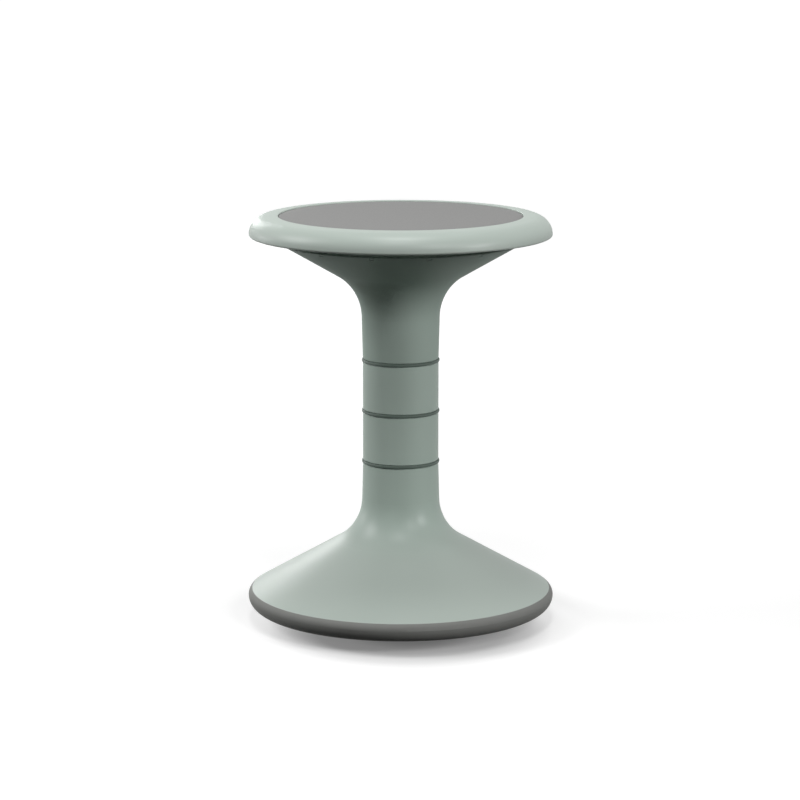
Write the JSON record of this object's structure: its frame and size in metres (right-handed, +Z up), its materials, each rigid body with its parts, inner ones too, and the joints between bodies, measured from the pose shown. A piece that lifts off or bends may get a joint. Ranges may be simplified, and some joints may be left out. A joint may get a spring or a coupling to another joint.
{
  "type": "wobble stool",
  "caption": "Low backless stool with a round flat seat, a sectional column with dark joint rings, and a flared base on a domed rubber sole that rocks.",
  "frame": {"origin": "centre of the flat under the sole, on the floor", "axes": "+Z up along the column's axis; the picture looks along +Y"},
  "size_m": [0.305, 0.305, 0.4064],
  "materials": {
    "shell": "sage green moulded polypropylene, fine satin grain",
    "pad": "mid grey anti-slip foam rubber",
    "rings": "dark grey moulded nylon",
    "pan": "black glass-filled polypropylene",
    "sole": "grey moulded rubber",
    "steel": "zinc plated steel"
  },
  "bodies": {
    "root": {"seat_pad": "pad", "seat_top": "shell", "seat_flare": "shell", "top_nut": "steel", "top_washer": "steel", "top_clamp_plate": "steel", "tie_rod": "steel", "ring_top": "rings", "spacer_upper": "shell", "ring_middle": "rings", "spacer_lower": "shell", "ring_bottom": "rings", "base_flare": "shell", "bottom_clamp_plate": "steel", "bottom_washer": "steel", "bottom_nut": "steel", "rocker_pan": "pan", "pan_screws": "steel", "rubber_sole": "sole"}
  },
  "joints": []
}
